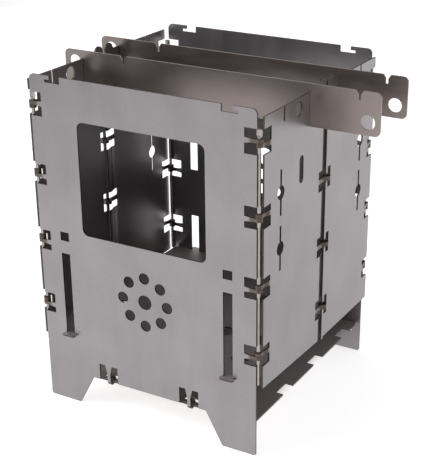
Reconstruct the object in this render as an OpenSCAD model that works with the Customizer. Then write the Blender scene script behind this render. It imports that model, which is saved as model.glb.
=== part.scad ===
// Folding sheet-metal twig stove, set up for use: two panels, four half walls,
// a hinged base plate, a fire grate and two pot bars.
// X runs to the right, Y to the back and Z up. The origin is on the floor under the pot bars' middle,
// which is the overall box's middle too.

/* [Body] */
// Height of the front and back panels
panel_h = 205; // [190:1:225]
// Depth over the outer faces of the front and back panels
body_d = 145; // [138:0.5:155]
// Width over the outer faces of the side walls
body_w = 151.4; // [146:0.1:160]
// Thickness of every sheet
sheet_t = 1; // [0.8:0.05:1.2]
// Distance from a side wall's outer face to the panels' side edge
panel_inset = 3.2; // [2.8:0.1:4]
// Distance from a panel's outer face to the side walls' upright edge
wall_inset = 2.2; // [2:0.1:3.4]
// Radius of the sheets' outer corners
corner_r = 3; // [1.5:0.25:4]

/* [Panel tops and legs] */
// How far the side walls end below the panels' top
top_step = 4; // [3:0.25:6]
// Thickness of the lip over each top notch
lip_t = 2.2; // [1.6:0.1:2.6]
// Distance from a panel's side edge to the inner end of its top notch
top_notch_side = 21; // [19:0.5:26]
// Width of a top notch at its mouth
top_notch_w = 7; // [5:0.25:9]
// How far a top notch runs on under its lip
top_notch_undercut = 3.2; // [2:0.2:4.5]
// Height of the panels' lower edge between the legs, which is the base plate's level
leg_h = 20.3; // [17:0.1:24]
// Width of a leg at the floor
leg_w = 21.9; // [18:0.1:26]
// How much wider a leg is at its top
leg_slant = 11; // [8:0.5:14]
// Radius of the legs' outer corners at the floor
foot_r = 1.5; // [0.5:0.25:2.5]

/* [Fuel window and vents] */
// Distance from the fuel window to the panel's side edges
window_side = 31.2; // [28:0.2:37]
// Distance from the fuel window to the panel's top
window_drop = 23.7; // [20:0.1:30]
// Height of the fuel window's lower edge
window_z = 113.4; // [111:0.2:118]
// Radius of the fuel window's corners
window_r = 4; // [2:0.5:8]
// Diameter of the front vent's centre hole
vent_hub_d = 9; // [6:0.5:12]
// Diameter of the holes round it
vent_hole_d = 7; // [5:0.5:8]
// Diameter of the circle of those holes' centres
vent_circle_d = 30; // [28:0.5:36]
// Number of holes round the centre hole
vent_holes = 8; // [6:1:9]
// Height of the front vent's centre
vent_z = 80; // [74:0.5:84]
// Width of a slot in the back panel's grille
grille_w = 24; // [20:1:36]
// Height of a slot in the back panel's grille
grille_slot_h = 7.2; // [5:0.2:8]
// Distance from one grille slot to the next
grille_pitch = 10.2; // [9.2:0.2:11]
// Number of grille slots
grille_slots = 2; // [1:1:3]
// Height of the lowest grille slot's centre
grille_z = 102.2; // [90:0.2:110]
// Diameter of the round hole over the grille slots
grille_hole_d = 12; // [8:0.5:16]

/* [Corner hinges] */
// Height of the lowest hinge
hinge_z = 64.1; // [62:0.1:68]
// Distance from the panels' top down to the highest hinge
hinge_drop = 18.1; // [17:0.1:20]
// Number of hinges along each upright edge, evenly spaced
hinge_count = 4; // [3:1:4]
// Height of a hinge notch
notch_h = 12.4; // [11:0.2:14]
// How much further the highest corner notches reach up, for the rods' heads
head_room = 1.6; // [0:0.1:2.4]
// Depth of a corner hinge notch
notch_d = 7.5; // [6.5:0.25:9]
// Height of one knuckle
knuckle_h = 2.1; // [1.8:0.1:2.6]
// How much taller a tongue is at its root than at its knuckle
tongue_flare = 1.2; // [0.6:0.2:2]
// Diameter of a hinge rod
rod_d = 2.1; // [1.9:0.05:2.4]
// Gap between a rod and its knuckles
rod_clear = 0.08; // [0.05:0.01:0.1]
// How far the side walls' tongues step inward on their way to a rod
hinge_jog = 0.9; // [0.5:0.1:1.2]
// Width of a rod's flattened head
head_w = 3.6; // [3:0.1:4.2]
// Height of a rod's flattened head
head_h = 5; // [4:0.25:6]
// Height of a rod's lower end above the side walls' lower edge
rod_rise = 4; // [1:0.5:6]

/* [Hook hinges] */
// Distance from the body's middle back to the seam between the half walls
seam_shift = 2.3; // [1:0.1:3]
// How much lower than the corner hinges the seam's hinges are
seam_drop = 1.2; // [0:0.1:2]
// Width of the strap that a seam hook goes round
strap_w = 2.1; // [1.8:0.1:2.6]
// Width of the base plate's front strap
base_strap_w = 3.6; // [3:0.1:4.2]
// Gap between the base plate's turning straps and their hooks
hook_clear = 0.12; // [0.1:0.01:0.15]
// Gap between a seam's straps and their hooks
seam_clear = 0.5; // [0.3:0.05:0.6]
// Height of a seam hook
seam_hook_h = 2.6; // [2:0.1:3]
// Width of the slot behind a strap
strap_slot_w = 3.8; // [3.2:0.1:4.6]
// Distance from the seam's middle to the strapped half wall's edge
seam_offset = 2.2; // [1.8:0.1:2.8]
// Distance from the seam's middle to where the hooked half wall starts to slope inward
seam_flat = 3.3; // [3:0.1:4]
// Distance from the seam's middle to the root of a seam hook
hook_notch_d = 7.4; // [6.8:0.1:8.4]
// Inner radius of the bend that leads into a seam hook
hook_bend_r = 0.9; // [0.6:0.1:1]
// Length of the stop lip's slope
lip_slope = 3.6; // [3:0.2:4.4]
// How far the stop lip reaches behind the other half wall
lip_reach = 0.8; // [0.5:0.1:1.6]
// Gap between the stop lip and the other half wall
lip_gap = 0.3; // [0.2:0.05:0.5]
// Distance from the seam's middle to each half wall's ear, which ends level with the panels' top
ear_y = 5.3; // [5:0.1:6.5]

/* [Side walls] */
// Height of the side walls' lower edge
wall_z = 41.5; // [38:0.5:46]
// How far a hooked half wall's lower edge climbs from the seam to the corner
wall_rise = 2.6; // [0:0.1:4]
// Height of the lower pair of slits' centre
slit_z = 121.9; // [119:0.1:124]
// Distance from the lower slits to the upper slits
slit_pitch = 32.3; // [31:0.1:35]
// Length of a slit
slit_l = 26.4; // [20:0.2:29]
// Width of a slit
slit_w = 1.9; // [1.2:0.1:2.4]
// Diameter of the hole in the middle of a slit
slit_hole_d = 8; // [6:0.2:9]
// Distance from a wall's upright edge to the slits
slit_side = 18.8; // [16:0.2:21]
// Diameter of the hole near a wall's top edge
top_hole_d = 8.3; // [6:0.1:9]
// Distance from a wall's upright edge to that hole
top_hole_side = 38.5; // [35:0.1:41]
// Distance from a wall's top edge to that hole's centre
top_hole_drop = 6; // [5.5:0.25:8]
// Distance from a wall's upright edge to the spare top slit
spare_slit_side = 21.7; // [19:0.1:25]
// Depth of the spare top slit
spare_slit_d = 8; // [6:0.5:10]
// Width of the round-ended vent in the right wall
wall_vent_w = 5; // [4:0.5:7]
// Height of that vent
wall_vent_h = 16; // [10:1:22]
// Distance from the wall's upright edge to that vent
wall_vent_side = 42.8; // [40:0.2:48]
// Height of that vent's centre
wall_vent_z = 160; // [150:1:168]
// Length of the tab under a hooked half wall's corner
seam_tab_l = 1.5; // [1.5:0.25:4]

/* [Fire grate] */
// Gap between the fire grate and the side walls
grate_side_gap = 4.2; // [3.6:0.1:6]
// Gap between the fire grate and the panels, and between the base plate and the back panel
grate_gap = 0.4; // [0.3:0.05:0.8]
// Height of the fire grate's underside
grate_z = 45.7; // [43:0.1:48]
// Distance from a panel's side edge to the middle of a grate slot
slot_side = 17.8; // [16.5:0.1:21]
// Width of a grate slot
slot_w = 6; // [5:0.1:7]
// Height of the front slots' upper end
front_slot_top = 99; // [85:0.5:102]
// Height of the back slots' upper end
back_slot_top = 72.6; // [66:0.2:80]
// Height of a spare back slot's lower end
spare_slot_z = 106; // [100:0.5:110]
// Height of a spare back slot
spare_slot_h = 28.6; // [20:0.2:34]
// Height of the peg hole's lower edge over a front slot
peg_hole_z = 107; // [104:0.5:109]
// Height of a peg hole
peg_hole_h = 5.5; // [4:0.25:6]
// Width of the head of a grate tab
tab_head_w = 9; // [7.5:0.25:10]
// Depth of the head of a grate tab
tab_head_d = 3.2; // [2:0.1:3.6]
// Diameter of a grate hole
grate_hole_d = 11.5; // [9:0.25:13]
// Distance from one grate hole to the next
grate_hole_pitch = 25; // [24:0.5:26]
// Number of grate holes in a row, and of rows
grate_rows = 5; // [3:1:5]

/* [Base plate] */
// Gap between the base plate's side edges and the side walls' inner faces, seen from above
base_side_gap = 4.2; // [4:0.1:7]
// Distance from a panel's side edge to a base hook
base_hook_side = 44.3; // [41:0.1:50]
// Width of the notch that a base hook stands in
base_notch_w = 13; // [11:0.5:15]
// Height of that notch above the panel's lower edge
base_notch_h = 10.7; // [9.5:0.1:13]
// Width of a base hook's root
hook_root_w = 5.4; // [4.4:0.2:7]
// Depth of the side notches that clear the corner hinges when the plate is folded up
side_notch_d = 5; // [3:0.25:6]
// Length of those side notches
side_notch_l = 12.7; // [10:0.1:14]
// Width of a support lug at its root
lug_w = 7.3; // [5:0.1:9]
// Length of a support lug
lug_l = 5.4; // [4:0.1:7]
// Distance from a panel's side edge to the middle of a support lug
lug_side = 8.5; // [6.5:0.5:12]

/* [Pot bars] */
// Length of a pot bar
bar_l = 205; // [195:0.5:215]
// Height of a pot bar
bar_h = 24; // [20:0.5:27]
// How far the pot bars' top edge stands above the panels
bar_rise = 1; // [0:0.25:4]
// Distance from the middle to a pot bar
bar_y = 18.6; // [15:0.1:22]
// How far the bars reach past the left wall's middle plane
bar_short_end = 12.6; // [10:0.2:16]
// Depth of the bars' slits
bar_slit_d = 5.3; // [4:0.1:7]
// Width of a top slit's funnel at the edge
funnel_w = 4.6; // [3:0.2:6]
// Depth of that funnel
funnel_d = 2.2; // [1:0.1:3]
// Gap on each side of a sheet in its slit
slit_clear = 0.25; // [0.2:0.01:0.4]
// Diameter of the hole in each end of a bar
bar_hole_d = 8.2; // [6:0.1:9]
// Distance from a bar's end and long edge to that hole's centre
bar_hole_inset = 7.2; // [6.5:0.1:8]

/* [Hidden] */
$fn = 48;
// Gap between a resting piece and its seat
seat_gap = 0.2;
// Gap between two knuckles on one rod
knuckle_gap = 0.2;
// How far a cutting shape runs past the sheet it cuts
over = 1;
// How far a knuckle is rolled round its rod
knuckle_roll = 275;
// How far a hook is rolled round its strap
hook_roll = 300;
// How far that bend runs on into the tongue and into the hook, in degrees
bend_lap = 8;
// How much the sheet thins on every side in the bend that leads into a seam hook
bend_thin = 0.05;
titanium = [0.62, 0.6, 0.61];
bar_tone = [0.45, 0.43, 0.43];
rod_tone = [0.72, 0.71, 0.71];
panel_w = body_w - 2 * panel_inset;
wall_top = panel_h - top_step;
window_w = panel_w - 2 * window_side;
window_h = panel_h - window_drop - window_z;
slot_x = panel_w / 2 - slot_side;
top_notch_x = panel_w / 2 - top_notch_side;
base_hook_x = panel_w / 2 - base_hook_side;
lug_x = panel_w / 2 - lug_side;
wall_mid_x = (body_w - sheet_t) / 2;
knuckle_r = rod_d / 2 + rod_clear + sheet_t;
axis_x = body_w / 2 - knuckle_r - hinge_jog;
axis_y = body_d / 2 - knuckle_r;
wall_edge_y = body_d / 2 - wall_inset;
grate_w = body_w - 2 * sheet_t - 2 * grate_side_gap;
base_w = body_w - 2 * sheet_t - 2 * base_side_gap;
hinge_pitch = (panel_h - hinge_drop - hinge_z) / (hinge_count - 1);
hinge_levels = [for (i = [0 : hinge_count - 1]) hinge_z + i * hinge_pitch];
top_hinge = hinge_count - 1;
seam_levels = [for (z = hinge_levels) z - seam_drop];
long_reach = wall_edge_y + seam_shift;
short_reach = wall_edge_y - seam_shift;
strap_reach = norm([strap_w, sheet_t]) / 2;
hook_in = strap_reach + seam_clear;
hook_mid = hook_in + sheet_t / 2;
base_hook_in = norm([base_strap_w, sheet_t]) / 2 + hook_clear;
seam_hook_y = seam_offset + strap_w / 2;
slit_cut = sheet_t + 2 * slit_clear;
bend_mid = hook_bend_r + sheet_t / 2;
bend_run = sqrt(hook_mid * hook_mid + 2 * hook_mid * bend_mid);
bend_turn = 90 - atan2(bend_mid, bend_run);
base_axis_y = base_hook_in + sheet_t - body_d / 2;
base_rear = body_d / 2 - sheet_t - grate_gap;
bar_top = panel_h + bar_rise;
bar_slit_top = bar_top - bar_h + bar_slit_d;
body_x = bar_short_end + wall_mid_x - bar_l / 2;

// Puts what is drawn round the body's centre at its distance from the origin
module at_body() {
    translate([body_x, 0, 0]) children();
}

// A sheet lying flat from z 0, cut from the outline in the children
module sheet() {
    linear_extrude(height = sheet_t) children();
}

// Stands a flat sheet up as the front panel, with its outline's y as height
module as_front() {
    translate([0, sheet_t - body_d / 2, 0]) rotate([90, 0, 0]) children();
}

// Stands a flat sheet up as the right wall, with its outline's x as depth and y as height
module as_right() {
    translate([body_w / 2 - sheet_t, 0, 0]) rotate([90, 0, 90]) children();
}

module rounded_rect(size, r) {
    w = size[0];
    h = size[1];
    translate([r, 0]) square([w - 2 * r, h]);
    translate([0, r]) square([w, h - 2 * r]);
    for (x = [r, w - r], y = [r, h - r]) translate([x, y]) circle(r);
}

// A slot with round ends, upright and centred
module round_slot(w, h) {
    translate([-w / 2, w / 2 - h / 2]) square([w, h - w]);
    for (y = [w / 2 - h / 2, h / 2 - w / 2]) translate([0, y]) circle(d = w);
}

// What is cut away to round a corner that points to +x +y from the origin
module corner_cut(r) {
    difference() {
        translate([-r, -r]) square(r + over);
        translate([-r, -r]) circle(r);
    }
}

// A strip of sheet rolled round the z axis from one angle to another
module roll(r_in, from, to, h, t = sheet_t) {
    rotate([0, 0, from]) rotate_extrude(angle = to - from) translate([r_in, 0]) square([t, h]);
}

// A corner hinge notch from x 0, the highest one with room for the rod's head
module hinge_notch(i) {
    translate([0, hinge_levels[i] - notch_h / 2])
        square([notch_d + over, notch_h + (i == top_hinge ? head_room : 0)]);
}

// Outline of both panels: legs, top notches and hinge notches
module panel_outline() {
    difference() {
        translate([-panel_w / 2, 0]) square([panel_w, panel_h]);
        for (s = [-1, 1]) scale([s, 1]) {
            polygon([[-over, -over], [panel_w / 2 - leg_w, -over], [panel_w / 2 - leg_w, 0],
                     [panel_w / 2 - leg_w - leg_slant, leg_h], [-over, leg_h]]);
            translate([panel_w / 2, panel_h]) corner_cut(corner_r);
            translate([top_notch_x, wall_top]) square([top_notch_w, top_step + over]);
            translate([top_notch_x, wall_top])
                square([top_notch_w + top_notch_undercut, top_step - lip_t]);
            translate([panel_w / 2, 0]) mirror([0, 1]) corner_cut(foot_r);
            for (i = [0 : top_hinge]) translate([panel_w / 2 - notch_d, 0]) hinge_notch(i);
        }
    }
}

// Outline of a tongue from x 0 to its root, as high as its knuckle up to where it starts to flare
module tongue_outline(root, flare_from, h = knuckle_h) {
    polygon([[0, 0], [0, h], [flare_from, h], [root + over, h + tongue_flare / 2],
             [root + over, -tongue_flare / 2], [flare_from, 0]]);
}

// Height of a knuckle's lower end, over or under the middle of hinge i
function knuckle_z(i, upper) = hinge_levels[i] + (upper ? knuckle_gap / 2 : -knuckle_gap / 2 - knuckle_h);

// Tongues and knuckles on both side edges of the front panel, the upper ones only at the highest hinge
module panel_tongues() {
    root = notch_d + axis_x - panel_w / 2;
    for (s = [0, 1], i = [0 : top_hinge]) mirror([s, 0, 0])
    translate([0, 0, knuckle_z(i, i == top_hinge)]) {
        translate([axis_x, -body_d / 2 + sheet_t, 0]) rotate([90, 0, 0]) sheet()
            mirror([1, 0]) tongue_outline(root, root / 2);
        translate([axis_x, -axis_y, 0]) roll(knuckle_r - sheet_t, -90, knuckle_roll - 90, knuckle_h);
    }
}

// Plan of a wall tongue from its knuckle at y 0 to its root, stepping outward by the jog on its way
module jogged_plan(root) {
    near = root * 0.35;
    far = root * 0.8;
    skew = sheet_t * tan(atan2(hinge_jog, far - near) / 2);
    out = knuckle_r + hinge_jog;
    polygon([[knuckle_r, 0], [knuckle_r, near], [out, far], [out, root + over],
             [out - sheet_t, root + over], [out - sheet_t, far + skew],
             [knuckle_r - sheet_t, near + skew], [knuckle_r - sheet_t, 0]]);
}

// Tongues and knuckles on the front edge of the right wall, an edge that far from y 0
module wall_tongues(reach) {
    root = notch_d + axis_y - wall_edge_y;
    for (i = [0 : top_hinge])
    translate([axis_x, wall_edge_y - reach - axis_y, knuckle_z(i, i != top_hinge)]) {
        intersection() {
            translate([0, 0, -tongue_flare]) linear_extrude(height = knuckle_h + 2 * tongue_flare)
                jogged_plan(root);
            rotate([90, 0, 90]) linear_extrude(height = 2 * knuckle_r) tongue_outline(root, root / 2);
        }
        roll(knuckle_r - sheet_t, 360 - knuckle_roll, 360, knuckle_h);
    }
}

module base_hooks() {
    for (s = [-1, 1]) translate([s * base_hook_x, 0, 0]) {
        as_front() sheet() polygon([
            [-knuckle_h / 2, leg_h], [knuckle_h / 2, leg_h], [knuckle_h / 2, leg_h + base_notch_h / 2],
            [hook_root_w / 2, leg_h + base_notch_h + over], [-hook_root_w / 2, leg_h + base_notch_h + over],
            [-knuckle_h / 2, leg_h + base_notch_h / 2]]);
        translate([-knuckle_h / 2, base_axis_y, leg_h]) rotate([90, 0, 90])
            roll(base_hook_in, 180, 180 + hook_roll, knuckle_h);
    }
}

module front_panel() {
    color(titanium) at_body() {
        as_front() sheet() difference() {
            panel_outline();
            translate([-window_w / 2, window_z]) rounded_rect([window_w, window_h], window_r);
            translate([0, vent_z]) circle(d = vent_hub_d);
            for (i = [0 : vent_holes - 1]) translate([0, vent_z]) rotate(360 * i / vent_holes)
                translate([0, vent_circle_d / 2]) circle(d = vent_hole_d);
            for (s = [-1, 1]) {
                translate([s * slot_x - slot_w / 2, grate_z - seat_gap])
                    square([slot_w, front_slot_top - grate_z + seat_gap]);
                translate([s * slot_x - slot_w / 2, peg_hole_z]) square([slot_w, peg_hole_h]);
                translate([s * base_hook_x - base_notch_w / 2, leg_h - over])
                    square([base_notch_w, base_notch_h + over]);
            }
        }
        panel_tongues();
        base_hooks();
    }
}

// Lugs cut free in the rear legs and bent inward under the base plate
module support_lugs() {
    lug_top = leg_h - sheet_t / 2 - seat_gap;
    for (s = [-1, 1]) translate([s * lug_x, body_d / 2 - sheet_t, lug_top - sheet_t]) sheet()
        polygon([[-lug_w / 2, sheet_t / 2], [-lug_w / 2, 0], [-lug_w / 3, -lug_l], [lug_w / 3, -lug_l],
                 [lug_w / 2, 0], [lug_w / 2, sheet_t / 2]]);
}

module back_panel() {
    lug_hole_top = leg_h - 1.5 * sheet_t - seat_gap;
    color(titanium) at_body() {
        mirror([0, 1, 0]) as_front() sheet() difference() {
            panel_outline();
            for (i = [0 : grille_slots - 1]) translate([0, grille_z + i * grille_pitch])
                rotate(90) round_slot(grille_slot_h, grille_w);
            translate([0, grille_z + grille_slots * grille_pitch + (grille_hole_d - grille_slot_h) / 2])
                circle(d = grille_hole_d);
            for (s = [-1, 1]) {
                translate([s * slot_x - slot_w / 2, grate_z - seat_gap])
                    square([slot_w, back_slot_top - grate_z + seat_gap]);
                translate([s * slot_x - slot_w / 2, spare_slot_z]) square([slot_w, spare_slot_h]);
                translate([s * lug_x, lug_hole_top]) polygon([
                    [-lug_w / 2, 0], [-lug_w / 3, -lug_l], [lug_w / 3, -lug_l], [lug_w / 2, 0]]);
            }
        }
        mirror([0, 1, 0]) panel_tongues();
        support_lugs();
    }
}

// Holes, slits and notches that every half wall has, on a front half, its upright edge that far from y 0
module wall_cuts(reach) {
    translate([wall_edge_y - reach - bar_y - slit_cut / 2, bar_slit_top - seat_gap])
        square([slit_cut, wall_top - bar_slit_top + seat_gap + over]);
    translate([spare_slit_side - reach - slit_cut / 2, wall_top - spare_slit_d])
        square([slit_cut, spare_slit_d + over]);
    translate([top_hole_side - reach, wall_top - top_hole_drop]) circle(d = top_hole_d);
    for (i = [0, 1]) translate([slit_side - reach, slit_z + i * slit_pitch]) {
        square([slit_w, slit_l], center = true);
        circle(d = slit_hole_d);
    }
    for (i = [0 : top_hinge]) translate([notch_d - reach, 0]) mirror([1, 0]) hinge_notch(i);
}

// The ear beside the seam, on a front half
module ear() {
    translate([-ear_y, wall_top]) circle(top_step);
}

// Front half of the right wall with the seam's middle at y 0. Its tongues hook round the rear half
// and its lip stops that half.
module hook_half(reach, vent) {
    lip_in = sheet_t + lip_gap;
    lip_end = seam_offset + lip_reach;
    skew = sheet_t * tan(atan2(lip_in, lip_slope) / 2);
    lip_top = wall_top - top_step - over;
    difference() {
        union() {
            as_right() sheet() difference() {
                union() {
                    polygon([[-reach, wall_z + wall_rise], [skew - seam_flat, wall_z],
                             [skew - seam_flat, wall_top], [-reach, wall_top]]);
                    ear();
                }
                wall_cuts(reach);
                if (vent) translate([wall_vent_side - reach, wall_vent_z])
                    round_slot(wall_vent_w, wall_vent_h);
            }
            translate([body_w / 2, 0, wall_z]) linear_extrude(height = lip_top - wall_z) polygon([
                [0, -seam_flat], [-lip_in, lip_slope - seam_flat], [-lip_in, lip_end],
                [-lip_in - sheet_t, lip_end], [-lip_in - sheet_t, lip_slope - seam_flat - skew],
                [-sheet_t, -seam_flat - skew]]);
        }
        for (z = seam_levels) translate([body_w / 2 - 2 * lip_in - sheet_t, -hook_notch_d, z - notch_h / 2])
            cube([2 * lip_in + sheet_t + over, hook_notch_d + lip_end + over, notch_h]);
    }
    wall_tongues(reach);
    for (z = seam_levels) translate([wall_mid_x, seam_hook_y, z - seam_hook_h / 2]) seam_hook();
}

// One hook of the seam: a tongue, a bend outward and a roll round the strap at the origin
module seam_hook() {
    root = hook_notch_d + seam_hook_y;
    translate([-sheet_t / 2, -bend_run, 0]) rotate([90, 0, 90]) sheet()
        mirror([1, 0]) tongue_outline(root - bend_run, root - bend_run - tongue_flare, seam_hook_h);
    translate([bend_mid, -bend_run, bend_thin])
        roll(hook_bend_r + bend_thin, 180 - bend_turn - bend_lap, 180 + bend_lap,
             seam_hook_h - 2 * bend_thin, sheet_t - 2 * bend_thin);
    roll(hook_in, -bend_turn, hook_roll - bend_turn, seam_hook_h);
}

// Rear half of the right wall with the seam's middle at y 0, with a strap at each seam hinge
module strap_half(reach) {
    as_right() sheet() {
        difference() {
            union() {
                translate([seam_offset, wall_z]) square([reach - seam_offset, wall_top - wall_z]);
                mirror([1, 0]) ear();
            }
            mirror([1, 0]) wall_cuts(reach);
            for (z = seam_levels) translate([seam_offset + strap_w, z - notch_h / 2])
                square([strap_slot_w, notch_h]);
        }
        translate([seam_offset, wall_z - seam_tab_l]) square([strap_w, seam_tab_l + over]);
    }
    mirror([0, 1, 0]) wall_tongues(reach);
}

// Puts a half wall drawn round the seam's middle in its place, turned round for the left wall
module at_seam(turn) {
    at_body() translate([0, seam_shift, 0]) rotate([0, 0, turn]) children();
}

module right_wall_front() {
    color(titanium) at_seam(0) hook_half(long_reach, true);
}

module right_wall_rear() {
    color(titanium) at_seam(0) strap_half(short_reach);
}

module left_wall_rear() {
    color(titanium) at_seam(180) hook_half(short_reach, false);
}

module left_wall_front() {
    color(titanium) at_seam(180) strap_half(long_reach);
}

// A hinge rod at one corner, with a flattened head over the top knuckle
module hinge_rod(sx, sy) {
    rod_bottom = wall_z + rod_rise;
    head_z = hinge_levels[top_hinge] + knuckle_gap / 2 + knuckle_h + seat_gap;
    color(rod_tone) translate([body_x + sx * axis_x, sy * axis_y, 0]) {
        translate([0, 0, rod_bottom]) cylinder(d = rod_d, h = head_z - rod_bottom);
        translate([-head_w / 2, -rod_d / 4, head_z]) cube([head_w, rod_d / 2, head_h]);
    }
}

module front_left_rod() {
    hinge_rod(-1, -1);
}

module front_right_rod() {
    hinge_rod(1, -1);
}

module rear_left_rod() {
    hinge_rod(-1, 1);
}

module rear_right_rod() {
    hinge_rod(1, 1);
}

module base_plate() {
    front = base_axis_y - base_strap_w / 2;
    color(titanium) translate([body_x, 0, leg_h - sheet_t / 2]) sheet() difference() {
        translate([-base_w / 2, front]) square([base_w, base_rear - front]);
        for (s = [-1, 1]) {
            translate([s * base_hook_x - base_notch_w / 2, base_axis_y + base_strap_w / 2])
                square([base_notch_w, strap_slot_w]);
            for (z = hinge_levels) {
                along = z - leg_h - body_d / 2;
                if (along + side_notch_l < base_rear) scale([s, 1])
                    translate([base_w / 2 - side_notch_d, along - side_notch_l / 2])
                        square([side_notch_d + over, side_notch_l]);
            }
        }
        for (s = [-1, 1]) scale([s, 1]) translate([base_w / 2, base_rear]) corner_cut(corner_r);
    }
}

// A grate tab with its T-shaped head outside the front panel
module grate_tab() {
    neck = grate_gap + sheet_t + seat_gap;
    translate([-slot_w / 2 + slit_clear, -body_d / 2 - seat_gap])
        square([slot_w - 2 * slit_clear, neck + over]);
    translate([-tab_head_w / 2, -body_d / 2 - seat_gap - tab_head_d])
        rounded_rect([tab_head_w, tab_head_d], tab_head_d / 2 - 0.1);
}

module fire_grate() {
    span = (grate_rows - 1) / 2 * grate_hole_pitch;
    color(titanium) translate([body_x, 0, grate_z]) sheet() {
        difference() {
            translate([-grate_w / 2, -base_rear]) square([grate_w, 2 * base_rear]);
            for (x = [-span : grate_hole_pitch : span], y = [-span : grate_hole_pitch : span])
                translate([x, y]) circle(d = grate_hole_d);
            for (a = [-1, 1], b = [-1, 1]) scale([a, b])
                translate([grate_w / 2, base_rear]) corner_cut(corner_r);
        }
        for (a = [-1, 1], b = [0, 1]) mirror([0, b]) translate([a * slot_x, 0]) grate_tab();
    }
}

// Outline of a pot bar from the origin; its ends swap when it is turned over
module bar_outline() {
    long_end = bar_l - bar_short_end - 2 * wall_mid_x;
    difference() {
        rounded_rect([bar_l, bar_h], corner_r);
        for (x = [bar_short_end, bar_l - long_end]) translate([x - slit_cut / 2, -over])
            square([slit_cut, bar_slit_d + over]);
        for (x = [long_end, bar_l - bar_short_end]) translate([x, bar_h]) {
            translate([-slit_cut / 2, -bar_slit_d]) square([slit_cut, bar_slit_d + over]);
            polygon([[-slit_cut / 2, -funnel_d], [slit_cut / 2, -funnel_d], [funnel_w / 2, 0],
                     [funnel_w / 2, over], [-funnel_w / 2, over], [-funnel_w / 2, 0]]);
        }
        translate([bar_hole_inset, bar_h - bar_hole_inset]) circle(d = bar_hole_d);
        translate([bar_l - bar_hole_inset, bar_hole_inset]) circle(d = bar_hole_d);
    }
}

module pot_bar(y) {
    color(bar_tone) translate([-bar_l / 2, y + sheet_t / 2, bar_top - bar_h]) rotate([90, 0, 0]) sheet()
        bar_outline();
}

module front_pot_bar() {
    pot_bar(-bar_y);
}

module rear_pot_bar() {
    pot_bar(bar_y);
}

front_panel();
back_panel();
left_wall_front();
left_wall_rear();
right_wall_front();
right_wall_rear();
front_left_rod();
front_right_rod();
rear_left_rod();
rear_right_rod();
base_plate();
fire_grate();
front_pot_bar();
rear_pot_bar();
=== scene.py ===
import math

import bmesh
import bpy
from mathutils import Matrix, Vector
from mathutils.bvhtree import BVHTree


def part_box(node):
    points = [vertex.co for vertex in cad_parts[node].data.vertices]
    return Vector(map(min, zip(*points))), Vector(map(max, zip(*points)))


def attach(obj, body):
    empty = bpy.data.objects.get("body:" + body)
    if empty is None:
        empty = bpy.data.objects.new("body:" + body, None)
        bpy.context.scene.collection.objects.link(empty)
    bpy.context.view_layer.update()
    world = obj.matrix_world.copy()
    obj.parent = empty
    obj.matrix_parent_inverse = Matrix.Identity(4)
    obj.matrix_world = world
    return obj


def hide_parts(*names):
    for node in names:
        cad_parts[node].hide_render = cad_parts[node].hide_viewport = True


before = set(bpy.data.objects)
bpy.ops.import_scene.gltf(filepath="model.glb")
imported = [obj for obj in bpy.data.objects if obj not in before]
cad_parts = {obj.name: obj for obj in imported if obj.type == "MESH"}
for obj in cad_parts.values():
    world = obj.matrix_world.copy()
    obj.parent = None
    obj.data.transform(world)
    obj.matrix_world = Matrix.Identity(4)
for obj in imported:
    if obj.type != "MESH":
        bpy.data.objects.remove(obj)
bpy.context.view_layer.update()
scene = bpy.context.scene
mm = 0.001
panelLow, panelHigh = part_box("front_panel")
bodyX = (panelLow.x + panelHigh.x) / 2  # the stove's middle; the pot bars reach further right
rodLow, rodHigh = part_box("rear_right_rod")
rodX = (rodLow.x + rodHigh.x) / 2 - bodyX
rodY = (rodLow.y + rodHigh.y) / 2
print("frame loaded:", len(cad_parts), "nodes, body middle at x", round(bodyX / mm, 2), "mm")


def linear(hexColour):  # sRGB hex to linear RGBA
    channels = []
    for i in (0, 2, 4):
        c = int(hexColour[i:i + 2], 16) / 255
        channels.append(c / 12.92 if c <= 0.04045 else ((c + 0.055) / 1.055) ** 2.4)
    return (*channels, 1.0)


# An input is a value or another node's socket. Sockets that share their name with others are given
# by number: in a colour Mix 0 is the share, 6 and 7 are the colours and output 2 is the result; in a
# Random Value 2, 3 and 8 are the least, the most and the seed, and output 1 is the number.
def addNode(tree, kind, inputs=None, **settings):
    node = tree.nodes.new(kind)
    for name, value in settings.items():
        setattr(node, name, value)
    for key, value in (inputs or {}).items():
        if isinstance(value, bpy.types.NodeSocket):
            tree.links.new(value, node.inputs[key])
        else:
            node.inputs[key].default_value = value
    return node


def startMaterial(name):
    material = bpy.data.materials.new(name)
    material.use_nodes = True
    tree = material.node_tree
    place = addNode(tree, "ShaderNodeTexCoord").outputs["Object"]
    return material, tree, tree.nodes["Principled BSDF"], place


def settle(piece, body, nodes):  # hands a finished piece to the frame
    scene.collection.objects.link(piece)
    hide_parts(*nodes)
    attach(piece, body)


# Titanium sheet, blasted with glass beads: an even satin grey, faintly warm, whose reflections
# are only soft patches
blasted = {
    "dark": "868181",
    "light": "9d999c",
    "roughness": (0.33, 0.41),
    "cloud": 34,  # mm, size of the tone's soft patches
    "streak": 13,  # mm across the rolling direction
    "grit": 0.55,  # mm; real bead marks are about 0.1 mm, drawn coarser so that they show at all
    "gritDepth": 0.016,  # mm
    "wave": 46,  # mm from one soft hollow of the thin sheet to the next
    "waveDepth": 0.16,  # mm
}

# The same sheet where it lies flat under the fire: blasted more coarsely, so it takes light from every
# side, and painted paler as painted light for the light from the top opening that reaches it
blastedCoarseAndPaintedLight = {
    **blasted,
    "dark": "ada7a6",
    "light": "bdb6b5",
    "roughness": (0.52, 0.6),
    "gritDepth": 0.02,
}

# The same sheet as rolled, with no blasting: darker and browner, with long faint streaks
rolled = {
    "dark": "857b78",
    "light": "988d8a",
    "roughness": (0.3, 0.4),
    "cloud": 26,
    "streak": 7,
    "grit": 0.5,
    "gritDepth": 0.006,
    "wave": 38,
    "waveDepth": 0.12,
}
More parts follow.
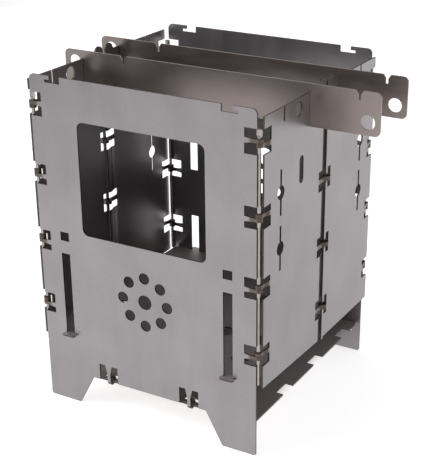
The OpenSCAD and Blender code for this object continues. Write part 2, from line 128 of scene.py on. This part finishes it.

# Blasted sheet where it was rolled round a hinge: the forming tool has rubbed it smoother along the
# roll; its darker colour is painted shade for the curls tucked between the knuckles, where little light
# reaches
formed = {
    "dark": "453f3b",
    "light": "5a524c",
    "roughness": (0.28, 0.4),
    "line": 0.6,
    "lineDepth": 0.01,
}

# Titanium cut by laser: matt, darker and yellower from the heat, with fine lines straight across
# the edge
laserCut = {
    "dark": "3e3833",
    "light": "665e58",
    "roughness": (0.45, 0.6),
    "line": 0.35,  # mm; real ones are about 0.1 mm apart, drawn coarser so that they show
    "lineDepth": 0.02,  # mm
}

# The bars' cut edges, painted lighter than other cut edges: painted light for the light from above that
# falls on their top edges
barCutPaintedLight = {**laserCut, "dark": "8a827c", "light": "aca49e", "roughness": (0.4, 0.52)}

# Hard-drawn titanium wire: brighter and smoother, with faint lines along it
drawnWire = {
    "dark": "8e8885",
    "light": "aaa5a2",
    "roughness": (0.16, 0.24),
    "line": 0.4,
    "lineDepth": 0.008,
}

# How the noises under these finishes are drawn and mixed
patterns = {
    "alongSheet": 0.2,  # streaks and waves are five times as long as they are wide
    "alongLine": 0.04,  # fine lines are 25 times as long as they are wide
    "layers": {  # detail and fineness of a sheet's noises
        "cloud": (3.0, 0.5),
        "streak": (4.0, 0.55),
        "grit": (2.0, 0.6),
        "wave": (1.0, 0.4),
    },
    "lineDetail": 2.0,
    "heat": 11.1,  # mm, size of the patches that heat leaves on edges, rolls and wire
    "streakShare": 0.45,  # the other part of the soft tone is cloud
    "gritShare": 0.36,  # of the whole tone
    "heatShare": 0.5,
    "spread": (0.3, 0.7),  # the middle of a noise, over which tones and roughness run
}

# Round the hinges the sheet is painted darker and browner, without a sharp border: painted shade for
# the tongues and curls that bend away round the rods, where little light reaches
paintedHingeShade = {
    "colour": "665d56",
    "panelReach": (4.2, 6.0),  # mm from a rod's middle, where the dark tone is full and is gone
    "wallReach": (6.6, 8.8),  # the same on the side walls, whose tongues are dark up to their roots
    "seamReach": (6.0, 8.6),  # mm from the middle of a seam
    "height": (2.6, 3.4),  # mm above and below a hinge's level
    "lowest": 64.1,  # mm, level of the lowest corner hinges
    "pitch": 40.93,  # mm from one level to the next
    "seamDrop": 1.2,  # mm, the seams' hinges are that much lower
    "seamShift": 2.3,  # mm, the seams are that far behind the stove's middle
}


def paintedHingeShadeMask(tree, place, line, middleY, reach, lowest):  # 1 at hinges on four upright lines, where shade is painted
    spot = place
    for step, other in (("SUBTRACT", (bodyX, middleY, 0)), ("ABSOLUTE", (0, 0, 0)),
                        ("SUBTRACT", (*line, 0)), ("MULTIPLY", (1, 1, 0))):
        moved = addNode(tree, "ShaderNodeVectorMath", {0: spot, 1: other}, operation=step)
        spot = moved.outputs["Vector"]
    distance = addNode(tree, "ShaderNodeVectorMath", {0: spot}, operation="LENGTH")
    rise = addNode(tree, "ShaderNodeSeparateXYZ", {"Vector": place}).outputs["Z"]
    half = paintedHingeShade["pitch"] / 2 * mm
    for step, other in (("SUBTRACT", lowest * mm), ("MAXIMUM", -half), ("PINGPONG", half)):
        levelled = addNode(tree, "ShaderNodeMath", {0: rise, 1: other}, operation=step)
        rise = levelled.outputs["Value"]  # from the nearest hinge level; none below the lowest
    shares = []
    for value, (full, gone) in ((distance.outputs["Value"], reach), (rise, paintedHingeShade["height"])):
        shares.append(addNode(tree, "ShaderNodeMapRange", {
            "Value": value, "From Min": full * mm, "From Max": gone * mm,
            "To Min": 1.0, "To Max": 0.0}).outputs["Result"])
    both = addNode(tree, "ShaderNodeMath", {0: shares[0], 1: shares[1]}, operation="MULTIPLY")
    return both.outputs["Value"]


def finishShader(tree, shader, look, tone, grain, heights, mask=None):
    # colour from a tone and the mask of painted shade at the hinges, roughness from a grain, relief
    # from heights
    ramp = addNode(tree, "ShaderNodeValToRGB", {"Fac": tone})
    for stop, position, shade in zip(ramp.color_ramp.elements, patterns["spread"], ("dark", "light")):
        stop.position = position
        stop.color = linear(look[shade])
    colour = ramp.outputs["Color"]
    if mask:
        # painted shade: the hinges' darker colour is mixed in where the mask is 1
        colour = addNode(tree, "ShaderNodeMix", {0: mask, 6: colour, 7: linear(paintedHingeShade["colour"])},
                         data_type="RGBA").outputs[2]
    tree.links.new(colour, shader.inputs["Base Color"])
    low, high = look["roughness"]
    noiseLow, noiseHigh = patterns["spread"]
    rough = addNode(tree, "ShaderNodeMapRange", {
        "Value": grain, "From Min": noiseLow, "From Max": noiseHigh, "To Min": low, "To Max": high})
    tree.links.new(rough.outputs["Result"], shader.inputs["Roughness"])
    previous = {}
    for depth, height in heights:
        bump = addNode(tree, "ShaderNodeBump", {
            "Strength": 1.0, "Distance": look[depth] * mm, "Height": height, **previous})
        previous = {"Normal": bump.outputs["Normal"]}
    tree.links.new(bump.outputs["Normal"], shader.inputs["Normal"])
    shader.inputs["Metallic"].default_value = 1.0


def stretched(tree, place, alongAxis, share):  # the place, drawn out along one axis
    scale = [1.0, 1.0, 1.0]
    scale[alongAxis] = share
    return addNode(tree, "ShaderNodeMapping", {"Vector": place, "Scale": scale}).outputs["Vector"]


def sheetMaterial(name, look, alongAxis, cornerReach=None):  # streaks run along the axis
    material, tree, shader, place = startMaterial(name)
    streakPlace = stretched(tree, place, alongAxis, patterns["alongSheet"])
    layers = {}
    for layer, (detail, fineness) in patterns["layers"].items():
        layers[layer] = addNode(tree, "ShaderNodeTexNoise", {
            "Vector": streakPlace if layer in ("streak", "wave") else place,
            "Scale": 1 / (look[layer] * mm), "Detail": detail, "Roughness": fineness}).outputs["Fac"]
    soft = addNode(tree, "ShaderNodeMix", {
        "Factor": patterns["streakShare"], "A": layers["cloud"], "B": layers["streak"]})
    tone = addNode(tree, "ShaderNodeMix", {
        "Factor": patterns["gritShare"], "A": soft.outputs["Result"], "B": layers["grit"]})
    mask = None
    # panels and walls get painted shade round their hinges
    if cornerReach:
        lowest = paintedHingeShade["lowest"]
        corner = paintedHingeShadeMask(tree, place, (rodX, rodY), 0, paintedHingeShade[cornerReach], lowest)
        seam = paintedHingeShadeMask(tree, place, (rodX, 0), paintedHingeShade["seamShift"] * mm, paintedHingeShade["seamReach"],
                          lowest - paintedHingeShade["seamDrop"])
        mask = addNode(tree, "ShaderNodeMath", {0: corner, 1: seam}, operation="MAXIMUM")
        mask = mask.outputs["Value"]
    relief = (("waveDepth", layers["wave"]), ("gritDepth", layers["grit"]))
    finishShader(tree, shader, look, tone.outputs["Result"], layers["streak"], relief, mask)
    return material


def lineMaterial(name, look, alongAxis):  # fine lines run along the axis
    material, tree, shader, place = startMaterial(name)
    linePlace = stretched(tree, place, alongAxis, patterns["alongLine"])
    noises = []
    for vector, size in ((linePlace, look["line"]), (place, patterns["heat"])):
        noise = addNode(tree, "ShaderNodeTexNoise", {
            "Vector": vector, "Scale": 1 / (size * mm), "Detail": patterns["lineDetail"]})
        noises.append(noise.outputs["Fac"])
    line, heat = noises
    tone = addNode(tree, "ShaderNodeMix", {"Factor": patterns["heatShare"], "A": line, "B": heat})
    finishShader(tree, shader, look, tone.outputs["Result"], line, (("lineDepth", line),))
    return material


# panels and walls carry painted shade at their hinges
blastedPanel = sheetMaterial("blastedTitaniumPanel", blasted, 2, "panelReach")
blastedWall = sheetMaterial("blastedTitaniumWall", blasted, 2, "wallReach")
# flat sheets: rougher, with painted light in their paler colour
blastedFlatAndPaintedLight = sheetMaterial("blastedTitaniumFlatPaintedLight", blastedCoarseAndPaintedLight, 1)
rolledBar = sheetMaterial("rolledTitaniumBar", rolled, 0)
# rolled curls, coloured darker as painted shade
formedRollInPaintedShade = lineMaterial("formedTitaniumRollPaintedShade", formed, 2)
cutAcrossX = lineMaterial("laserCutEdgeAcrossX", laserCut, 0)
cutAcrossY = lineMaterial("laserCutEdgeAcrossY", laserCut, 1)
cutAcrossZ = lineMaterial("laserCutEdgeAcrossZ", laserCut, 2)
# the bars' cut edges, with painted light
cutOfBar = lineMaterial("barCutPaintedLightEdgeOfBar", barCutPaintedLight, 1)
wireMaterial = lineMaterial("drawnTitaniumWire", drawnWire, 2)
print("materials made:", len(bpy.data.materials))

sheets = {
    "thickness": 1.0,  # mm
    "edgeRadius": 0.09,  # mm; the cut edges are tumbled, so they aren't sharp
    "edgeSteps": 2,
    "oneSheet": 1.15,  # times the thickness: metal up to this deep behind a face is one sheet
    "probe": (0.01, 3.5),  # mm, where looking for the far side starts and how far it goes
    "merge": 0.002,  # mm, corners closer than this are one
    "flatWithin": 0.4,  # degrees, faces that differ less are joined
    "roundFrom": 50,  # degrees, sharper edges are rounded
    "smoothTo": 38,  # degrees, softer edges are shaded smooth
    "formedBelow": 0.995,  # a skin face is in a roll or bend if no part of its normal reaches this
    "pieces": [  # piece, CAD node, body, slot, face material, edge material
        ("frontPanelSheet", "front_panel", "stove", "titanium_sheet", blastedPanel, cutAcrossY),
        ("backPanelSheet", "back_panel", "stove", "titanium_sheet", blastedPanel, cutAcrossY),
        ("leftWallFrontSheet", "left_wall_front", "stove", "titanium_sheet", blastedWall, cutAcrossX),
        ("leftWallRearSheet", "left_wall_rear", "stove", "titanium_sheet", blastedWall, cutAcrossX),
        ("rightWallFrontSheet", "right_wall_front", "stove", "titanium_sheet", blastedWall, cutAcrossX),
        ("rightWallRearSheet", "right_wall_rear", "stove", "titanium_sheet", blastedWall, cutAcrossX),
        ("basePlateSheet", "base_plate", "base", "titanium_sheet", blastedFlatAndPaintedLight, cutAcrossZ),
        ("fireGrateSheet", "fire_grate", "grate", "titanium_sheet", blastedFlatAndPaintedLight, cutAcrossZ),
        ("frontPotBarSheet", "front_pot_bar", "front_bar", "bar_sheet", rolledBar, cutOfBar),
        ("rearPotBarSheet", "rear_pot_bar", "rear_bar", "bar_sheet", rolledBar, cutOfBar),
    ],
}


def sortFaces(bm):
    # with one thickness of metal behind it a face is the sheet's skin, slot 0, or where it isn't
    # flat, formed skin, slot 2; any other face is a cut, slot 1
    tree = BVHTree.FromBMesh(bm)
    start, reach = (length * mm for length in sheets["probe"])
    for face in bm.faces:
        below = face.calc_center_median() - face.normal * start
        depth = tree.ray_cast(below, -face.normal, reach)[3]
        if depth is None or depth / mm > sheets["thickness"] * sheets["oneSheet"]:
            face.material_index = 1
        elif max(abs(part) for part in face.normal) < sheets["formedBelow"]:
            face.material_index = 2


def dressSheet(name, nodeName, body, slot, faceMaterial, edgeMaterial):
    bm = bmesh.new()
    bm.from_mesh(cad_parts[nodeName].data)
    bmesh.ops.remove_doubles(bm, verts=bm.verts, dist=sheets["merge"] * mm)
    sortFaces(bm)
    bmesh.ops.dissolve_limit(bm, angle_limit=math.radians(sheets["flatWithin"]), verts=bm.verts,
                             edges=bm.edges, delimit={"MATERIAL"})
    # rounding the rim of a face with many corners can fold it, so only triangles and quads stay
    cornered = [face for face in bm.faces if len(face.verts) > 4]
    bmesh.ops.triangulate(bm, faces=cornered, ngon_method="BEAUTY")
    mesh = bpy.data.meshes.new(name)
    bm.to_mesh(mesh)
    bm.free()
    for material in (faceMaterial, edgeMaterial, formedRollInPaintedShade):
        mesh.materials.append(material)
    mesh.shade_smooth()
    mesh.set_sharp_from_angle(angle=math.radians(sheets["smoothTo"]))
    piece = bpy.data.objects.new(name, mesh)
    rounding = piece.modifiers.new("roundedEdges", "BEVEL")
    rounding.width = sheets["edgeRadius"] * mm
    rounding.segments = sheets["edgeSteps"]
    rounding.limit_method = "ANGLE"
    rounding.angle_limit = math.radians(sheets["roundFrom"])
    rounding.miter_outer = "MITER_ARC"
    shading = piece.modifiers.new("flatFacesStayFlat", "WEIGHTED_NORMAL")
    shading.mode = "FACE_AREA"
    shading.weight = 100  # the most there is: the largest faces decide
    shading.keep_sharp = True
    settle(piece, body, [nodeName])


for row in sheets["pieces"]:
    dressSheet(*row)
print("sheets dressed:", len(sheets["pieces"]))

hingeRods = {
    "wire": 2.1,  # mm across
    "headWidth": 3.6,
    "headThickness": 1.05,
    "headHeight": 5.0,
    "shoulder": 1.6,  # mm over which the wire turns into its hammered head
    "tip": 0.35,  # mm, chamfer at each end
    "turn": 4,  # degrees that a rod may be turned in its knuckles
    "rings": 430,  # along a rod
    "sides": 20,  # round it
    "seed": 3,
    "nodes": ["front_left_rod", "front_right_rod", "rear_left_rod", "rear_right_rod"],
}


def rodTree(spec):  # one rod along z, then four of them at the corners of a grid
    low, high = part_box("front_left_rod")
    farLow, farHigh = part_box("rear_right_rod")
    tree = bpy.data.node_groups.new("hingeRods", "GeometryNodeTree")
    tree.interface.new_socket("Geometry", in_out="OUTPUT", socket_type="NodeSocketGeometry")
    radius = spec["wire"] * mm / 2
    sizes = {
        "Wire radius": radius,
        "Head widening": spec["headWidth"] / spec["wire"],
        "Head thinning": spec["headThickness"] / spec["wire"],
        "Head start": high.z - spec["headHeight"] * mm,
        "Head full": high.z - (spec["headHeight"] - spec["shoulder"]) * mm,
        "Bottom": low.z,
        "Bottom full": low.z + spec["tip"] * mm,
        "Top full": high.z - spec["tip"] * mm,
        "Top": high.z,
        "Tip share": 1 - spec["tip"] * mm / radius,
        "Spacing X": (farLow.x + farHigh.x - low.x - high.x) / 2,
        "Spacing Y": (farLow.y + farHigh.y - low.y - high.y) / 2,
        "Centre X": (low.x + high.x + farLow.x + farHigh.x) / 4,
        "Turn": math.radians(spec["turn"]),
    }
    for name, value in sizes.items():
        socket = tree.interface.new_socket(name, in_out="INPUT", socket_type="NodeSocketFloat")
        socket.default_value = value
    given = addNode(tree, "NodeGroupInput").outputs
    ends = [addNode(tree, "ShaderNodeCombineXYZ", {"Z": given[end]}).outputs["Vector"]
            for end in ("Bottom", "Top")]
    line = addNode(tree, "GeometryNodeCurvePrimitiveLine", {"Start": ends[0], "End": ends[1]})
    spine = addNode(tree, "GeometryNodeResampleCurve", {
        "Curve": line.outputs["Curve"], "Count": spec["rings"]})
    ring = addNode(tree, "GeometryNodeCurvePrimitiveCircle", {
        "Resolution": spec["sides"], "Radius": given["Wire radius"]})
    tube = addNode(tree, "GeometryNodeCurveToMesh", {
        "Curve": spine.outputs["Curve"], "Profile Curve": ring.outputs["Curve"], "Fill Caps": True})
    shaped = addNode(tree, "GeometryNodeInputPosition").outputs["Position"]
    z = addNode(tree, "ShaderNodeSeparateXYZ", {"Vector": shaped}).outputs["Z"]
    shares = {}  # how wide and how thick the rod is at each height, against the wire
    for name, kind, fromMin, fromMax, toMin, toMax in (
            ("width", "SMOOTHSTEP", "Head start", "Head full", 1.0, "Head widening"),
            ("thickness", "SMOOTHSTEP", "Head start", "Head full", 1.0, "Head thinning"),
            ("bottom", "LINEAR", "Bottom", "Bottom full", "Tip share", 1.0),
            ("top", "LINEAR", "Top full", "Top", 1.0, "Tip share")):
        limits = {"From Min": fromMin, "From Max": fromMax, "To Min": toMin, "To Max": toMax}
        inputs = {key: given[end] if isinstance(end, str) else end for key, end in limits.items()}
        shares[name] = addNode(tree, "ShaderNodeMapRange", {"Value": z, **inputs},
                               interpolation_type=kind).outputs["Result"]
    for across, thick in (("width", "thickness"), ("bottom", "bottom"), ("top", "top")):
        share = addNode(tree, "ShaderNodeCombineXYZ", {
            "X": shares[across], "Y": shares[thick], "Z": 1.0})
        shaped = addNode(tree, "ShaderNodeVectorMath", {0: shaped, 1: share.outputs["Vector"]},
                         operation="MULTIPLY").outputs["Vector"]
    rod = addNode(tree, "GeometryNodeSetPosition", {
        "Geometry": tube.outputs["Mesh"], "Position": shaped})
    corners = addNode(tree, "GeometryNodeMeshGrid", {
        "Vertices X": 2, "Vertices Y": 2, "Size X": given["Spacing X"], "Size Y": given["Spacing Y"]})
    offset = addNode(tree, "ShaderNodeCombineXYZ", {"X": given["Centre X"]})
    placed = addNode(tree, "GeometryNodeTransform", {
        "Geometry": corners.outputs["Mesh"], "Translation": offset.outputs["Vector"]})
    least = addNode(tree, "ShaderNodeMath", {0: given["Turn"], 1: -1.0}, operation="MULTIPLY")
    turn = addNode(tree, "FunctionNodeRandomValue", {
        2: least.outputs["Value"], 3: given["Turn"], 8: spec["seed"]}, data_type="FLOAT")
    rotation = addNode(tree, "ShaderNodeCombineXYZ", {"Z": turn.outputs[1]})
    rods = addNode(tree, "GeometryNodeInstanceOnPoints", {
        "Points": placed.outputs["Geometry"], "Instance": rod.outputs["Geometry"],
        "Rotation": rotation.outputs["Vector"]})
    real = addNode(tree, "GeometryNodeRealizeInstances", {"Geometry": rods.outputs["Instances"]})
    smooth = addNode(tree, "GeometryNodeSetShadeSmooth", {"Geometry": real.outputs["Geometry"]})
    wired = addNode(tree, "GeometryNodeSetMaterial", {
        "Geometry": smooth.outputs["Geometry"], "Material": wireMaterial})
    addNode(tree, "NodeGroupOutput", {"Geometry": wired.outputs["Geometry"]})
    return tree


def fromTree(name, tree, values):  # runs a Geometry Nodes tree and keeps its result as a plain mesh
    maker = bpy.data.objects.new(name + "Maker", bpy.data.meshes.new(name + "Maker"))
    scene.collection.objects.link(maker)
    modifier = maker.modifiers.new(name, "NODES")
    modifier.node_group = tree
    for item in tree.interface.items_tree:
        if item.item_type == "SOCKET" and item.in_out == "INPUT" and item.name in values:
            modifier[item.identifier] = values[item.name]
    graph = bpy.context.evaluated_depsgraph_get()
    mesh = bpy.data.meshes.new_from_object(maker.evaluated_get(graph), depsgraph=graph)
    mesh.name = name
    bpy.data.objects.remove(maker)
    return bpy.data.objects.new(name, mesh)


rods = fromTree("hingeRods", rodTree(hingeRods), {"Turn": math.radians(hingeRods["turn"])})
settle(rods, "stove", hingeRods["nodes"])
print("hinge rods made:", len(rods.data.polygons), "faces")

studio = {
    "floorSize": 6.0,  # m
    "floorColour": "f2f2f2",
    "floorRoughness": 0.9,
    "floorSheen": 0.1,
    "floorGlow": 0.58,
    "dimmedGlow": 0.26,  # far out to the left, where the paper leaves the light
    "dimmedColour": "c0c0c0",
    "dimmedTowards": (-0.95, -0.3, 0.0),
    "dimmedReach": (0.42, 0.8),  # m from the origin that way, where the dimming starts and is full
    "shadeMiddle": (-6, 24),  # mm from the stove's middle; paper under the base plate gets little light
    "shadeHalf": (54, 52),  # mm
    "shadeSoft": 9,  # mm
    "shadeGlow": 0.12,  # share of the glow that is left there
    "shadeColour": "606060",
    "horizon": (0.1, 0.85),  # how far up a direction points, from 0 to 1, and how bright it is there
    "zenith": (0.9, 0.32),
    "aim": 0.1,  # m above the floor, where the soft boxes point
    "softBoxes": {  # place in m, power in W, width in m
        "leftSoftbox": ((-1.6, -0.9, 1.5), 25, 1.4),
        "rightSoftbox": ((1.9, -0.4, 1.3), 9, 1.4),
    },
}


def paperMaterial():  # pale paper that glows, dimmed at the far left and shaded under the stove
    material, tree, shader, place = startMaterial("palePaperFloor")
    shader.inputs["Roughness"].default_value = studio["floorRoughness"]
    shader.inputs["Specular IOR Level"].default_value = studio["floorSheen"]
    shader.inputs["Emission Color"].default_value = (1, 1, 1, 1)
    along = addNode(tree, "ShaderNodeVectorMath", {0: place, 1: studio["dimmedTowards"]},
                    operation="DOT_PRODUCT").outputs["Value"]
    near, far = studio["dimmedReach"]
    away = addNode(tree, "ShaderNodeMapRange", {
        "Value": along, "From Min": near, "From Max": far}).outputs["Result"]
    middleX, middleY = studio["shadeMiddle"]
    spot = place
    for step, other in (("SUBTRACT", (bodyX + middleX * mm, middleY * mm, 0)),
                        ("ABSOLUTE", (0, 0, 0))):
        moved = addNode(tree, "ShaderNodeVectorMath", {0: spot, 1: other}, operation=step)
        spot = moved.outputs["Vector"]
    sides = addNode(tree, "ShaderNodeSeparateXYZ", {"Vector": spot}).outputs
    inside = []
    for side, reach in zip((sides["X"], sides["Y"]), studio["shadeHalf"]):
        inside.append(addNode(tree, "ShaderNodeMapRange", {
            "Value": side, "From Min": (reach - studio["shadeSoft"]) * mm,
            "From Max": (reach + studio["shadeSoft"]) * mm, "To Min": 1.0, "To Max": 0.0},
            interpolation_type="SMOOTHSTEP").outputs["Result"])
    shaded = addNode(tree, "ShaderNodeMath", {0: inside[0], 1: inside[1]}, operation="MULTIPLY")
    shaded = shaded.outputs["Value"]
    colour = linear(studio["floorColour"])
    for share, other in ((away, "dimmedColour"), (shaded, "shadeColour")):
        colour = addNode(tree, "ShaderNodeMix", {0: share, 6: colour, 7: linear(studio[other])},
                         data_type="RGBA").outputs[2]
    tree.links.new(colour, shader.inputs["Base Color"])
    glows = []
    for share, start, end in ((away, studio["floorGlow"], studio["dimmedGlow"]),
                              (shaded, 1.0, studio["shadeGlow"])):
        glows.append(addNode(tree, "ShaderNodeMapRange", {
            "Value": share, "To Min": start, "To Max": end}).outputs["Result"])
    glow = addNode(tree, "ShaderNodeMath", {0: glows[0], 1: glows[1]}, operation="MULTIPLY")
    tree.links.new(glow.outputs["Value"], shader.inputs["Emission Strength"])
    return material


floorMesh = bpy.data.meshes.new("studioFloor")
half = studio["floorSize"] / 2
rim = [(-half, -half, 0), (half, -half, 0), (half, half, 0), (-half, half, 0)]
floorMesh.from_pydata(rim, [], [(0, 1, 2, 3)])
floorMesh.materials.append(paperMaterial())
floor = bpy.data.objects.new("studioFloor", floorMesh)
scene.collection.objects.link(floor)

world = bpy.data.worlds.new("paleStudio")
scene.world = world
world.use_nodes = True
background = world.node_tree.nodes["Background"]
direction = addNode(world.node_tree, "ShaderNodeTexCoord").outputs["Generated"]
height = addNode(world.node_tree, "ShaderNodeSeparateXYZ", {"Vector": direction}).outputs["Z"]
(lowHeight, lowStrength), (topHeight, topStrength) = studio["horizon"], studio["zenith"]
fade = addNode(world.node_tree, "ShaderNodeMapRange", {
    "Value": height, "From Min": lowHeight, "From Max": topHeight,
    "To Min": lowStrength, "To Max": topStrength})
world.node_tree.links.new(fade.outputs["Result"], background.inputs["Strength"])
background.inputs["Color"].default_value = (1, 1, 1, 1)

for name, (spot, power, size) in studio["softBoxes"].items():
    light = bpy.data.lights.new(name, "AREA")
    light.energy = power
    light.size = size
    lamp = bpy.data.objects.new(name, light)
    lamp.location = spot
    aim = Vector((bodyX, 0, studio["aim"])) - Vector(spot)
    lamp.rotation_euler = aim.to_track_quat("-Z", "Y").to_euler()
    scene.collection.objects.link(lamp)
print("studio lit by", len(studio["softBoxes"]), "soft boxes")

view = {
    "focal": 1153.87,  # px
    "centre": (243.99, 250.28),  # px, where the lens axis meets the picture
    "picture": (422, 465),  # px
    "place": (338.45, -562.13, 371.08),  # mm from the stove's middle on the floor
    "yaw": 29.19,  # degrees
    "pitch": 23.556,  # degrees down
    "sensor": 36.0,  # mm, over the picture's longer side, its height
}
width, tall = view["picture"]
cameraData = bpy.data.cameras.new("photoCamera")
cameraData.sensor_width = view["sensor"]
cameraData.lens = view["focal"] * view["sensor"] / tall
cameraData.shift_x = (width / 2 - view["centre"][0]) / tall
cameraData.shift_y = (view["centre"][1] - tall / 2) / tall
camera = bpy.data.objects.new("photoCamera", cameraData)
camera.location = Vector(view["place"]) * mm + Vector((bodyX, 0, 0))
camera.rotation_mode = "YXZ"
camera.rotation_euler = (math.radians(90 - view["pitch"]), 0, math.radians(view["yaw"]))
scene.collection.objects.link(camera)
scene.camera = camera
scene.view_settings.view_transform = "Standard"
print("camera", round(camera.location.length, 3), "m from the origin")
